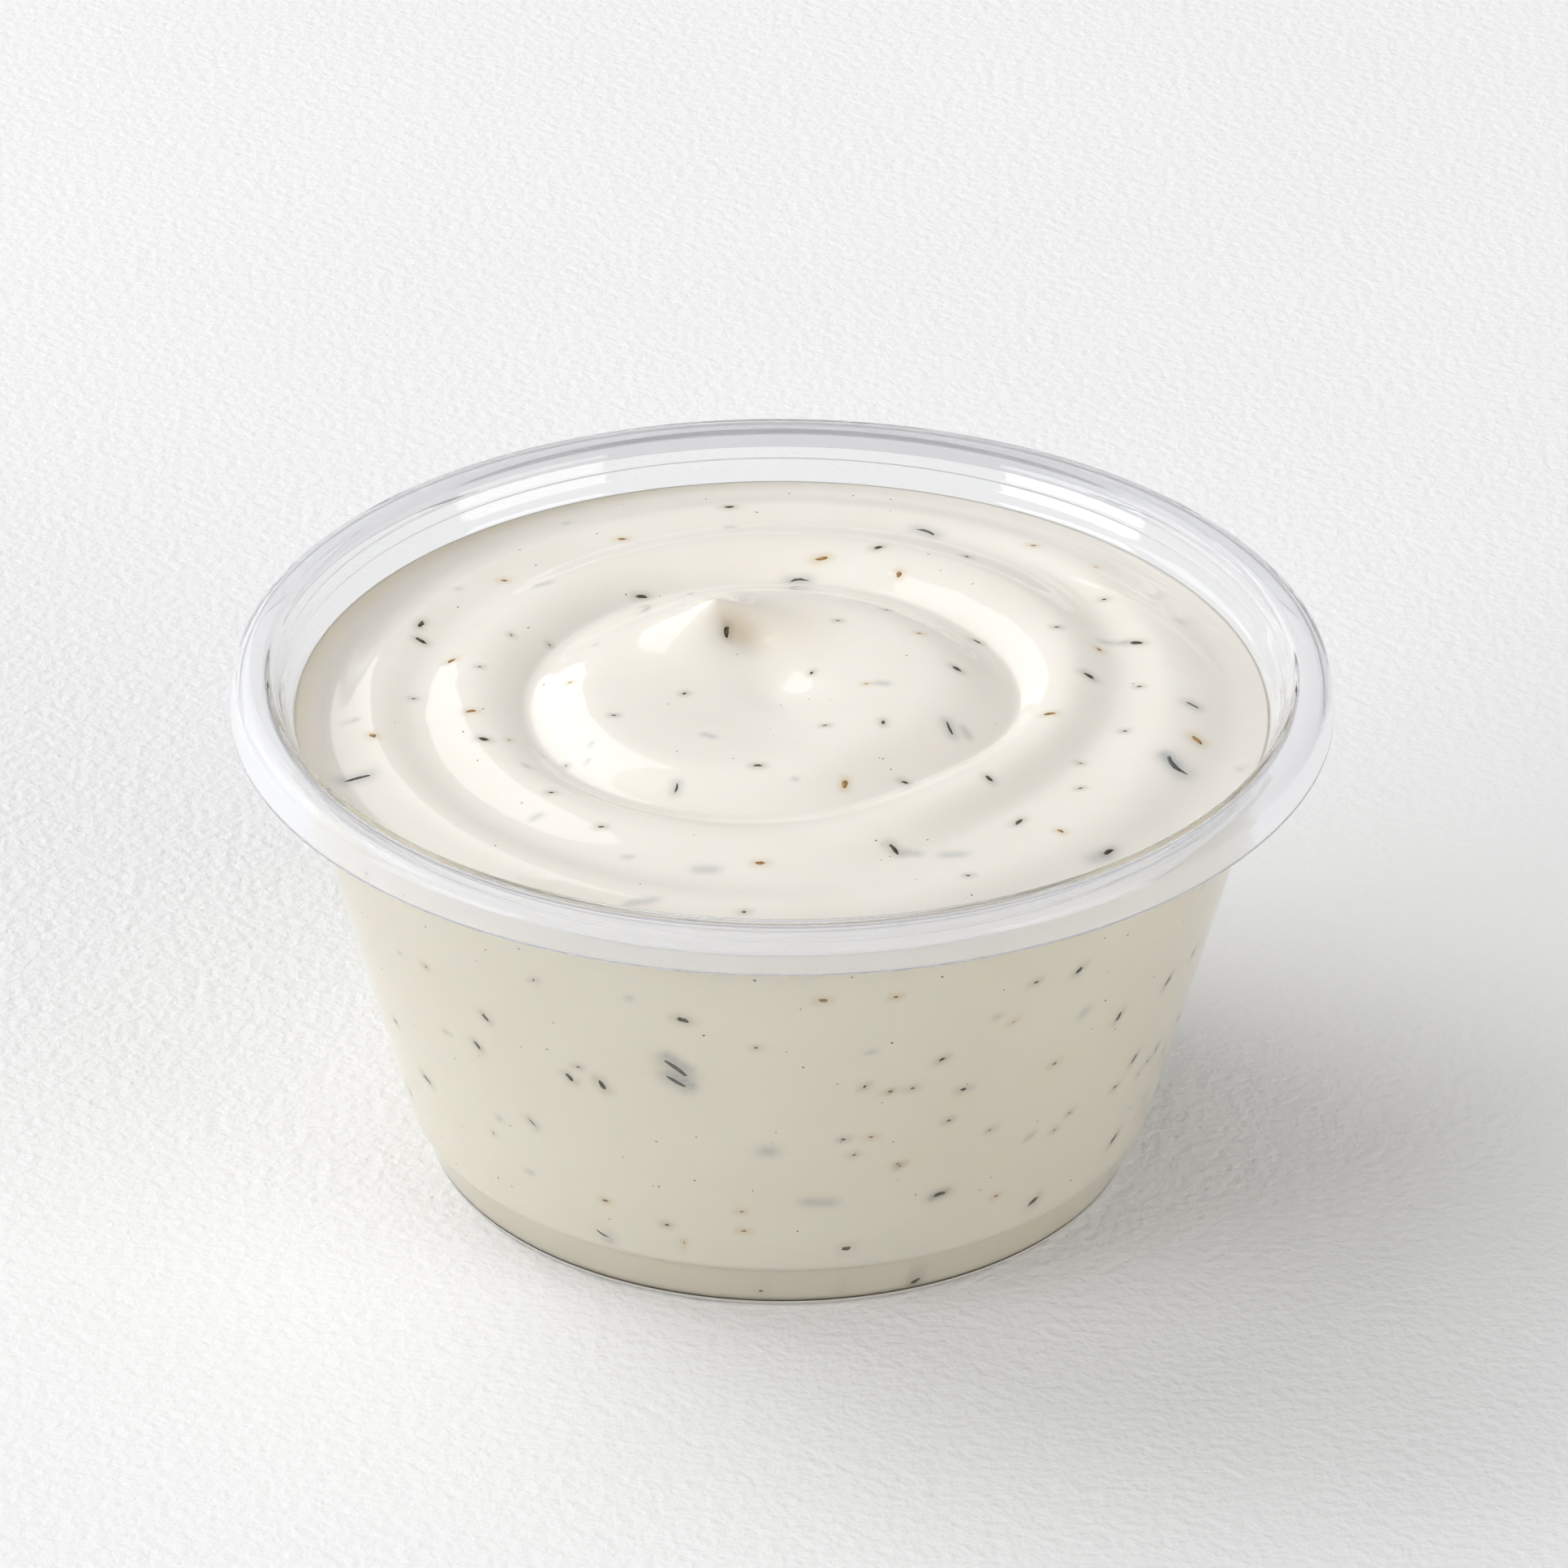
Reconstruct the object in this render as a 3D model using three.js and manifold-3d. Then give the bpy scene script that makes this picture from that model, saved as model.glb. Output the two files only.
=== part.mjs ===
// A clear plastic portion cup filled with herb-flecked ranch dressing.
// Millimetres, +Z up, origin at the centre of the base on the surface it stands on.
// The dressing's top is a spoon swirl: a mound with a peak on it, a moat and a ridge round it,
// and a low shore towards the wall. Herb and pepper flecks are fused to it.

import * as THREE from 'three';
import { mergeVertices } from 'three/addons/utils/BufferGeometryUtils.js';
import Module from 'manifold-3d';

// Cup: a thin tapered wall on a narrower foot, with a ledge and a rolled rim at the top.
const cup = {
  baseRadius: 24.4,
  footTopRadius: 25.15,
  footRingInner: 22.0,
  footHeight: 3.4,
  shoulderHeight: 4.15,
  shoulderRadius: 26.06,
  wallTopHeight: 32.8,
  wallTopRadius: 33.46,
  wallThickness: 0.45,
  floorUnder: 0.6,
  floorTop: 1.05,
  channelRadius: 22.4,
  channelTop: 0.4,
  ledgeRadius: 33.3,
  ledgeHeight: 33.5,
  rimRadius: 37.4,
  rimTop: 36.15,
  rimSkirtBottom: 33.4,
  segments: 72,
};

// Dressing: fills the cup to just under the ledge, kept clear of the plastic all round.
const dressing = {
  gap: 0.3,
  wallLevel: 32.75,
  centreLevel: 33.8,
  topRings: 27,
  sideRings: 6,
  segments: 80,
};

// The swirl's crests and hollows are lines that go right round it. Each line has a radius and
// a height every 45 degrees, from +X towards +Y. lean above 1 steepens a slope's outer part.
const stationStep = 45;
const swirlLines = [
  {
    name: 'mound',
    radius: [8.5, 10.5, 11.2, 11.0, 11.2, 11.0, 8.4, 6.4],
    height: [34.0, 33.95, 33.9, 33.9, 33.85, 33.85, 33.8, 33.95],
    lean: 1.15,
  },
  {
    name: 'moat',
    radius: [16.0, 17.0, 18.2, 17.8, 17.5, 16.9, 14.8, 13.4],
    height: [32.25, 32.45, 32.5, 32.5, 32.5, 32.5, 32.5, 32.25],
    lean: 1.55,
  },
  {
    name: 'ridge',
    radius: [19.3, 22.4, 22.8, 22.0, 20.9, 20.4, 18.6, 17.0],
    height: [33.4, 33.4, 33.45, 33.5, 33.5, 33.45, 33.25, 33.5],
    lean: 0.64,
  },
  {
    name: 'valley',
    radius: [22.8, 26.2, 26.4, 25.6, 25.0, 24.8, 24.0, 20.8],
    height: [32.7, 32.75, 33.1, 33.0, 32.8, 32.8, 32.8, 32.45],
    lean: 1,
  },
  {
    name: 'shore',
    radius: [26.6, 28.6, 28.6, 27.6, 27.4, 27.4, 27.6, 26.6],
    height: [33.05, 33.05, 33.1, 33.1, 33.15, 33.15, 33.15, 33.05],
    lean: 1,
  },
  {
    name: 'trough',
    radius: [31.2, 31.2, 31.2, 31.1, 31.0, 31.0, 31.2, 31.2],
    height: [32.75, 32.8, 32.8, 32.6, 32.2, 32.25, 32.6, 32.7],
    lean: 1,
  },
];

// On the mound: soft hollows, and the peak that the spoon pulled up, whose foot trails off
// towards the front left and which has a low crest to its right.
const hollows = [
  { x: -2.0, y: -1.0, depth: 0.6, spread: 4.2 },
  { x: -0.6, y: 0.9, depth: 0.4, spread: 1.7 },
  { x: -2.5, y: 7.0, depth: 0.7, spread: 1.5 },
];
const peak = {
  x: -4.4,
  y: 9.1,
  height: 2.1,
  reach: 3.0,
  power: 1.15,
  tip: 0.45,
  trail: 2.7,
  trailTurn: 230,
  trailPower: 0.4,
};
const crest = { length: 7.2, height: 0.25, width: 1.3, slant: 0.12 };

// The flecks that stand out most, at their places on the swirl: x, y, length and turn.
const largeFlecks = [
  { x: -28.4, y: -10.2, length: 2.3, turn: 0 },
  { x: -24.9, y: 10.4, length: 1.2, turn: 75 },
  { x: -9.8, y: 15.6, length: 1.1, turn: 10 },
  { x: 1.1, y: 18.4, length: 1.7, turn: 5 },
  { x: 10.1, y: 25.0, length: 2.0, turn: -35 },
  { x: 2.7, y: 20.5, length: 1.3, turn: 20 },
  { x: 24.3, y: 8.8, length: 1.2, turn: -20 },
  { x: 20.9, y: 3.4, length: 1.2, turn: -45 },
  { x: 27.8, y: -0.3, length: 1.4, turn: -45 },
  { x: 27.9, y: -5.1, length: 1.5, turn: -60 },
  { x: 26.3, y: -8.6, length: 3.0, turn: -65 },
  { x: 11.3, y: -4.2, length: 1.5, turn: -70 },
  { x: 4.2, y: -11.7, length: 1.8, turn: 80 },
  { x: 7.4, y: -19.9, length: 1.5, turn: -60 },
  { x: 21.5, y: -20.1, length: 1.8, turn: 50 },
  { x: 15.7, y: -16.0, length: 1.1, turn: 60 },
  { x: -3.8, y: 6.8, length: 1.6, turn: 85 },
  { x: -20.0, y: -6.4, length: 1.0, turn: -30 },
  { x: -9.0, y: -27.3, length: 2.0, turn: 5 },
  { x: -7.0, y: -12.3, length: 1.0, turn: 80 },
];
const topFlecks = { count: 30, keepApart: 2.6, innerRadius: 4, outerRadius: 31, shortest: 0.7, longest: 1.3 };
const sideFlecks = { count: 30, lowest: 3.0, highest: 30.0, shortest: 0.9, longest: 1.9 };
const fleckWidth = 0.45;
const fleckThickness = 0.34;
const sideProud = 0.06;
const fleckSeed = 20;

const degrees = Math.PI / 180;
const goldenAngle = Math.PI * (3 - Math.sqrt(5));
const wasm = await Module();
wasm.setup();

function seededRandom(seed) {
  let state = seed;
  return () => {
    state = (state * 1664525 + 1013904223) % 4294967296;
    return state / 4294967296;
  };
}

function smoothStep(value) {
  const t = Math.min(Math.max(value, 0), 1);
  return t * t * (3 - 2 * t);
}

// Smooth closed curve through a line's stations, at an angle in radians.
function aroundLine(values, angle) {
  const count = values.length;
  const position = ((angle / degrees / stationStep) % count + count) % count;
  const i = Math.floor(position);
  const t = position - i;
  const [a, b, c, d] = [i - 1, i, i + 1, i + 2].map((k) => values[(k + count) % count]);
  return b + 0.5 * t * (c - a + t * (2 * a - 5 * b + 4 * c - d + t * (3 * (b - c) + d - a)));
}

// Height of the swirl between the two lines on either side of a point.
function swirlHeight(radius, angle) {
  let inner = { radius: 0, height: dressing.centreLevel };
  const wall = { radius: innerWallRadius(dressing.wallLevel), height: dressing.wallLevel, lean: 1 };
  for (const line of [...swirlLines, wall]) {
    const isWall = line === wall;
    const outer = {
      radius: isWall ? wall.radius : aroundLine(line.radius, angle),
      height: isWall ? wall.height : aroundLine(line.height, angle),
    };
    if (radius <= outer.radius || isWall) {
      const share = Math.min(Math.max((radius - inner.radius) / (outer.radius - inner.radius), 0), 1);
      return inner.height + (outer.height - inner.height) * smoothStep(share ** line.lean);
    }
    inner = outer;
  }
  return inner.height;
}

function peakRelief(x, y) {
  const dx = x - peak.x;
  const dy = y - peak.y;
  const facing = Math.max(Math.cos(Math.atan2(dy, dx) - peak.trailTurn * degrees), 0);
  const reach = peak.reach + peak.trail * facing ** 2;
  const power = peak.power + peak.trailPower * facing ** 2;
  const cone = Math.exp(-((Math.hypot(dx, dy, peak.tip) / reach) ** power));
  const along = Math.min(Math.max(dx / crest.length, 0), 1);
  const across = (dy - crest.slant * dx) / crest.width;
  const behindTip = dx < 0 ? Math.exp(-((dx / crest.width) ** 2)) : 1;
  const crestShare = (1 - smoothStep(along)) * Math.exp(-(across ** 2)) * behindTip;
  return peak.height * cone + crest.height * crestShare;
}

function hollowDepth(x, y) {
  return hollows.reduce((depth, hollow) => {
    const distance = Math.hypot(x - hollow.x, y - hollow.y) / hollow.spread;
    return depth + hollow.depth * Math.exp(-0.5 * distance ** 2);
  }, 0);
}

// Height of the dressing's top at a point seen from above.
function surfaceHeight(x, y) {
  const level = swirlHeight(Math.hypot(x, y), Math.atan2(y, x));
  return level - hollowDepth(x, y) + peakRelief(x, y);
}

function outerWallRadius(height) {
  const slope = (cup.wallTopRadius - cup.shoulderRadius) / (cup.wallTopHeight - cup.shoulderHeight);
  return cup.shoulderRadius + slope * (height - cup.shoulderHeight);
}

function innerWallRadius(height) {
  return outerWallRadius(height) - cup.wallThickness * 1.03;
}

// Cup section from the axis under the base, up the outside, over the rim and down the inside.
function cupSection() {
  const { baseRadius, footHeight, shoulderHeight, wallTopHeight, rimRadius, rimTop } = cup;
  const { footRingInner, footTopRadius, ledgeRadius, ledgeHeight, channelRadius, channelTop } = cup;
  const skirt = cup.rimSkirtBottom;
  const inFoot = innerWallRadius(shoulderHeight) - 0.9;
  return [
    [0, cup.floorUnder],
    [footRingInner - 0.7, cup.floorUnder],
    [footRingInner, 0],
    [baseRadius - 0.45, 0],
    [baseRadius - 0.1, 0.12],
    [baseRadius + 0.1, 0.5],
    [footTopRadius, footHeight + 0.1],
    [outerWallRadius(shoulderHeight) - 0.3, shoulderHeight - 0.4],
    [outerWallRadius(shoulderHeight), shoulderHeight],
    [outerWallRadius(wallTopHeight), wallTopHeight],
    [ledgeRadius + 0.5, ledgeHeight - 0.25],
    [rimRadius - 2.85, rimTop - 0.95],
    [rimRadius - 2.45, rimTop - 0.62],
    [rimRadius - 1.2, rimTop - 0.66],
    [rimRadius - 0.78, rimTop - 1.05],
    [rimRadius - 0.46, skirt],
    [rimRadius - 0.02, skirt],
    [rimRadius, skirt + 0.3],
    [rimRadius - 0.28, rimTop - 0.85],
    [rimRadius - 0.5, rimTop - 0.35],
    [rimRadius - 0.95, rimTop - 0.08],
    [rimRadius - 1.7, rimTop],
    [rimRadius - 2.6, rimTop - 0.06],
    [rimRadius - 2.95, rimTop - 0.3],
    [ledgeRadius + 0.06, ledgeHeight + 0.25],
    [ledgeRadius - 0.08, ledgeHeight - 0.2],
    [innerWallRadius(wallTopHeight), wallTopHeight],
    [innerWallRadius(shoulderHeight), shoulderHeight],
    [innerWallRadius(shoulderHeight) - 0.35, shoulderHeight - 0.45],
    [inFoot, footHeight - 0.1],
    [inFoot - 0.25, channelTop + 0.3],
    [inFoot - 0.7, channelTop],
    [channelRadius, channelTop],
    [channelRadius - 0.8, cup.floorTop],
    [0, cup.floorTop],
  ].map(([radius, height]) => new THREE.Vector2(radius, height));
}

// Dressing section, kept one gap inside the cup, with level rings on top for the swirl.
function dressingSection() {
  const { gap, wallLevel, sideRings, topRings } = dressing;
  const inFoot = innerWallRadius(cup.shoulderHeight) - 0.9 - gap;
  const bottom = cup.floorTop + gap;
  const channel = cup.channelTop + gap;
  const section = [
    [0, bottom],
    [cup.channelRadius - 0.7 + gap, bottom],
    [cup.channelRadius + 0.1 + gap, channel],
    [inFoot - 0.7, channel],
    [inFoot - 0.2, channel + 0.35],
    [inFoot, cup.footHeight - 0.05],
  ];
  for (let i = 0; i <= sideRings; i += 1) {
    const height = cup.shoulderHeight + 0.3 + (wallLevel - cup.shoulderHeight - 0.3) * (i / sideRings);
    section.push([innerWallRadius(height) - gap, height]);
  }
  const edgeRadius = innerWallRadius(wallLevel) - gap;
  for (let i = 1; i <= topRings; i += 1) {
    section.push([edgeRadius * (1 - i / topRings), wallLevel]);
  }
  return section.map(([radius, height]) => new THREE.Vector2(Math.max(radius, 0), height));
}

// Turns a section about +Z. The closed body has shared vertices and no empty triangles.
function revolve(section, segments) {
  const geometry = new THREE.LatheGeometry(section, segments);
  geometry.rotateX(Math.PI / 2);
  return closeUp(geometry);
}

function closeUp(geometry) {
  geometry.deleteAttribute('normal');
  geometry.deleteAttribute('uv');
  const merged = mergeVertices(geometry, 1e-4);
  const source = merged.index ? merged.index.array : [...merged.attributes.position.array.keys()];
  const index = [];
  for (let i = 0; i < source.length; i += 3) {
    const [a, b, c] = [source[i], source[i + 1], source[i + 2]];
    if (a !== b && b !== c && c !== a) index.push(a, b, c);
  }
  merged.setIndex(index);
  return merged;
}

function toSolid(geometry) {
  return new wasm.Manifold(new wasm.Mesh({
    numProp: 3,
    vertProperties: new Float32Array(geometry.attributes.position.array),
    triVerts: new Uint32Array(geometry.index.array),
  }));
}

function fromSolid(solid) {
  const { vertProperties, triVerts } = solid.getMesh();
  const geometry = new THREE.BufferGeometry();
  geometry.setAttribute('position', new THREE.BufferAttribute(new Float32Array(vertProperties), 3));
  geometry.setIndex(new THREE.BufferAttribute(new Uint32Array(triVerts), 1));
  geometry.computeVertexNormals();
  return geometry;
}

// Lifts the level top rings of the revolved dressing to the swirl.
function raiseSwirl(geometry) {
  const position = geometry.attributes.position;
  const edgeRadius = innerWallRadius(dressing.wallLevel) - dressing.gap;
  for (let i = 0; i < position.count; i += 1) {
    const [x, y, z] = [position.getX(i), position.getY(i), position.getZ(i)];
    const onTop = z > dressing.wallLevel - 0.01 && Math.hypot(x, y) < edgeRadius - 0.01;
    if (onTop) position.setZ(i, surfaceHeight(x, y));
  }
  return geometry;
}

// One fleck: a small many-sided grain stretched along its length and laid on a surface.
function fleckSolid(centre, normal, turn, length) {
  const grain = new THREE.IcosahedronGeometry(1, 0);
  grain.scale(length / 2, fleckWidth / 2, fleckThickness / 2);
  grain.rotateZ(turn);
  const tilt = new THREE.Quaternion().setFromUnitVectors(new THREE.Vector3(0, 0, 1), normal);
  grain.applyMatrix4(new THREE.Matrix4().compose(centre, tilt, new THREE.Vector3(1, 1, 1)));
  return toSolid(closeUp(grain));
}

function topFleck(x, y, turn, length) {
  const reach = 0.3;
  const slopeX = (surfaceHeight(x + reach, y) - surfaceHeight(x - reach, y)) / (2 * reach);
  const slopeY = (surfaceHeight(x, y + reach) - surfaceHeight(x, y - reach)) / (2 * reach);
  const normal = new THREE.Vector3(-slopeX, -slopeY, 1).normalize();
  return fleckSolid(new THREE.Vector3(x, y, surfaceHeight(x, y)), normal, turn, length);
}

function sideFleck(angle, height, turn, length) {
  const radius = innerWallRadius(height) - dressing.gap + sideProud - fleckThickness / 2;
  const taper = Math.atan(innerWallRadius(1) - innerWallRadius(0));
  const normal = new THREE.Vector3(
    Math.cos(angle) * Math.cos(taper),
    Math.sin(angle) * Math.cos(taper),
    -Math.sin(taper),
  );
  const centre = new THREE.Vector3(radius * Math.cos(angle), radius * Math.sin(angle), height);
  return fleckSolid(centre, normal, turn, length);
}

// Largest flecks at their own places, then smaller ones spread evenly by the golden angle.
function allFlecks() {
  const random = seededRandom(fleckSeed);
  const flecks = largeFlecks.map(({ x, y, turn, length }) => topFleck(x, y, turn * degrees, length));
  const between = (low, high) => low + (high - low) * random();
  for (let i = 0; i < topFlecks.count; i += 1) {
    const { innerRadius, outerRadius, shortest, longest } = topFlecks;
    const share = Math.sqrt((i + between(0.2, 0.8)) / topFlecks.count);
    const radius = innerRadius + (outerRadius - innerRadius) * share;
    const angle = i * goldenAngle + between(-0.2, 0.2);
    const [x, y] = [radius * Math.cos(angle), radius * Math.sin(angle)];
    const [turn, length] = [between(0, Math.PI), between(shortest, longest)];
    const crowded = largeFlecks.some((fleck) => Math.hypot(fleck.x - x, fleck.y - y) < topFlecks.keepApart);
    if (!crowded) flecks.push(topFleck(x, y, turn, length));
  }
  for (let i = 0; i < sideFlecks.count; i += 1) {
    const { lowest, highest, shortest, longest } = sideFlecks;
    const height = cup.shoulderHeight + lowest + (highest - lowest - cup.shoulderHeight) * random();
    const angle = i * goldenAngle + between(-0.15, 0.15);
    flecks.push(sideFleck(angle, height, between(0, Math.PI), between(shortest, longest)));
  }
  return flecks;
}

function makeCup() {
  const material = new THREE.MeshStandardMaterial({
    color: 0xeef1f3,
    roughness: 0.08,
    metalness: 0,
    transparent: true,
    opacity: 0.3,
  });
  const mesh = new THREE.Mesh(revolve(cupSection(), cup.segments), material);
  mesh.name = 'cup';
  return mesh;
}

function makeDressing() {
  const body = toSolid(raiseSwirl(revolve(dressingSection(), dressing.segments)));
  const flecked = allFlecks().reduce((solid, fleck) => solid.add(fleck), body);
  const material = new THREE.MeshStandardMaterial({ color: 0xf1ece0, roughness: 0.3, metalness: 0 });
  const mesh = new THREE.Mesh(fromSolid(flecked), material);
  mesh.name = 'dressing';
  return mesh;
}

const portion = new THREE.Group();
portion.add(makeCup());
portion.add(makeDressing());

export default portion;
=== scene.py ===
import math
import random

import bmesh
import bpy
from mathutils import Matrix, Vector
from mathutils.kdtree import KDTree


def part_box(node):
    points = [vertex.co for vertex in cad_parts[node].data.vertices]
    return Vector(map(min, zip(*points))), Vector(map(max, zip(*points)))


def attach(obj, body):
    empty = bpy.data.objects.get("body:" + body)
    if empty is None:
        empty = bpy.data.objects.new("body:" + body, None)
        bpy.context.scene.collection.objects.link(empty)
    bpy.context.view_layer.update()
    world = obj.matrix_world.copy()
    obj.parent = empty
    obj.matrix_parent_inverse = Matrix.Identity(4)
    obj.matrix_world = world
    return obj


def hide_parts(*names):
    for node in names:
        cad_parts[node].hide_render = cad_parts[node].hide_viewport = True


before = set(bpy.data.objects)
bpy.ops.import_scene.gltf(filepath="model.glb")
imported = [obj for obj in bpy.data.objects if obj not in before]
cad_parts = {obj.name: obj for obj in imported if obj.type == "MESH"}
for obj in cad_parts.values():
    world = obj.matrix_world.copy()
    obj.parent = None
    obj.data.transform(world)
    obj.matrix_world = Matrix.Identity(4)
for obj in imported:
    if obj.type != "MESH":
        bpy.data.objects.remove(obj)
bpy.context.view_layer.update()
mm = 0.001
scene = bpy.context.scene


def smoothStep(value):
    t = min(max(value, 0.0), 1.0)
    return t * t * (3 - 2 * t)


# Corners are (radius, height, rounding); each rounded corner becomes an arc of steps pieces.
def roundedPath(corners, steps=6):
    points = []
    for i, (r, z, rounding) in enumerate(corners):
        here = Vector((r, z))
        if rounding <= 0 or i in (0, len(corners) - 1):
            points.append(here)
            continue
        before = Vector(corners[i - 1][:2]) - here
        after = Vector(corners[i + 1][:2]) - here
        reach = min(rounding, before.length * 0.49, after.length * 0.49)
        start = here + before.normalized() * reach
        end = here + after.normalized() * reach
        for k in range(steps + 1):
            t = k / steps
            points.append(start * (1 - t) ** 2 + here * 2 * t * (1 - t) + end * t ** 2)
    return points


# Turns a section of (radius, height) points about the axis into a closed skin, in metres.
def spinSection(points, steps):
    bm = bmesh.new()
    ring = [bm.verts.new((p.x * mm, 0, p.y * mm)) for p in points]
    edges = [bm.edges.new(pair) for pair in zip(ring, ring[1:])]
    bmesh.ops.spin(bm, geom=ring + edges, cent=(0, 0, 0), axis=(0, 0, 1), dvec=(0, 0, 0),
                   angle=math.tau, steps=steps, use_merge=True, use_duplicate=False)
    bmesh.ops.remove_doubles(bm, verts=bm.verts, dist=0.002 * mm)
    bmesh.ops.dissolve_degenerate(bm, edges=bm.edges, dist=0.001 * mm)
    bmesh.ops.recalc_face_normals(bm, faces=bm.faces)
    return bm


def finishPiece(bm, name, material):
    mesh = bpy.data.meshes.new(name)
    bm.to_mesh(mesh)
    bm.free()
    for face in mesh.polygons:
        face.use_smooth = True
    mesh.materials.append(material)
    piece = bpy.data.objects.new(name, mesh)
    scene.collection.objects.link(piece)
    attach(piece, "root")
    return piece


def newMaterial(name):
    material = bpy.data.materials.new(name)
    material.use_nodes = True
    nodes = material.node_tree.nodes
    return material, nodes, material.node_tree.links, nodes["Principled BSDF"]


def objectPoint(nodes):
    return nodes.new("ShaderNodeTexCoord").outputs["Object"]


# Noise whose features are about size millimetres across.
def noiseNode(nodes, links, point, size, detail=3.0, roughness=0.5):
    node = nodes.new("ShaderNodeTexNoise")
    node.inputs["Scale"].default_value = 1 / (size * mm)
    node.inputs["Detail"].default_value = detail
    node.inputs["Roughness"].default_value = roughness
    links.new(point, node.inputs["Vector"])
    return node.outputs["Fac"]


def rampNode(nodes, links, value, stops):
    node = nodes.new("ShaderNodeValToRGB")
    ramp = node.color_ramp
    while len(ramp.elements) < len(stops):
        ramp.elements.new(0.5)
    for element, (position, colour) in zip(ramp.elements, stops):
        element.position = position
        element.color = (*colour, 1)
    links.new(value, node.inputs["Fac"])
    return node.outputs["Color"]


# Maps 0..1 to low..high.
def spreadNode(nodes, links, value, low, high):
    node = nodes.new("ShaderNodeMapRange")
    node.inputs["To Min"].default_value = low
    node.inputs["To Max"].default_value = high
    links.new(value, node.inputs["Value"])
    return node.outputs["Result"]


def mixNode(nodes, links, share, first, second, blend="MIX"):
    node = nodes.new("ShaderNodeMix")
    node.data_type = "RGBA"
    node.blend_type = blend
    if isinstance(share, float):
        node.inputs["Factor"].default_value = share
    else:
        links.new(share, node.inputs["Factor"])
    links.new(first, node.inputs["A"])
    links.new(second, node.inputs["B"])
    return node.outputs["Result"]


def attributeNode(nodes, name):
    node = nodes.new("ShaderNodeAttribute")
    node.attribute_name = name
    return node


def bumpNode(nodes, links, height, depth, strength=1.0):
    node = nodes.new("ShaderNodeBump")
    node.inputs["Strength"].default_value = strength
    node.inputs["Distance"].default_value = depth * mm
    links.new(height, node.inputs["Height"])
    return node.outputs["Normal"]


# Screen colour, 0 to 255, as the linear colour that shaders want.
def srgb(red, green, blue):
    return tuple(((c / 255 + 0.055) / 1.055) ** 2.4 if c > 10 else c / 255 / 12.92
                 for c in (red, green, blue))


cameraView = {
    "distance": 492.1, "height": 302.8,    # mm, from the cup's axis and from the table
    "pitch": 29.309, "yaw": 0.019, "roll": 0.269,    # degrees
    "lens": 190.1, "sensor": 36.0,
}


def makeCamera():
    data = bpy.data.cameras.new("camera")
    data.lens = cameraView["lens"]
    data.sensor_width = cameraView["sensor"]
    data.clip_start = 0.05
    data.clip_end = 20
    camera = bpy.data.objects.new("camera", data)
    turn = (Matrix.Rotation(math.radians(-cameraView["yaw"]), 4, "Z")
            @ Matrix.Rotation(math.radians(90 - cameraView["pitch"]), 4, "X")
            @ Matrix.Rotation(math.radians(cameraView["roll"]), 4, "Z"))
    place = Matrix.Translation((0, -cameraView["distance"] * mm, cameraView["height"] * mm))
    camera.matrix_world = place @ turn
    scene.collection.objects.link(camera)
    scene.camera = camera


makeCamera()
print("camera placed")


# The clear cup, in millimetres.
cupSizes = {
    "wall": 0.45, "wallLean": 1.03,    # measured level, the leaning wall is this much thicker
    "baseRadius": 24.4, "footTopRadius": 25.15, "footHeight": 3.4,
    "shoulderRadius": 26.06, "shoulderHeight": 4.15,
    "wallTopRadius": 33.46, "wallTopHeight": 32.8,
    "footStep": 0.9, "footTaper": 0.65,    # how far the foot's inside steps in, and then narrows
    "floorUnder": 0.6, "floorTop": 1.05, "footRing": 22.0,
    "channelTop": 0.4, "channelRadius": 22.4,    # the foot is a channel round a raised floor
    "ledgeRadius": 33.3, "ledgeHeight": 33.5,
    "skirtBottom": 33.4, "rimWidth": 2.85,
    "beads": [(35.2, 0.05), (34.35, 0.08)],    # height, how proud: fine rings inside the neck
    "turns": 360,
}
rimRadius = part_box("cup")[1].x / mm
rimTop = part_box("cup")[1].z / mm


def outerWallRadius(height):
    low, high = cupSizes["shoulderHeight"], cupSizes["wallTopHeight"]
    slope = (cupSizes["wallTopRadius"] - cupSizes["shoulderRadius"]) / (high - low)
    return cupSizes["shoulderRadius"] + slope * (height - low)


def innerWallRadius(height):
    return outerWallRadius(height) - cupSizes["wall"] * cupSizes["wallLean"]


def insideFootRadius():
    return innerWallRadius(cupSizes["shoulderHeight"]) - cupSizes["footStep"]


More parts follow.
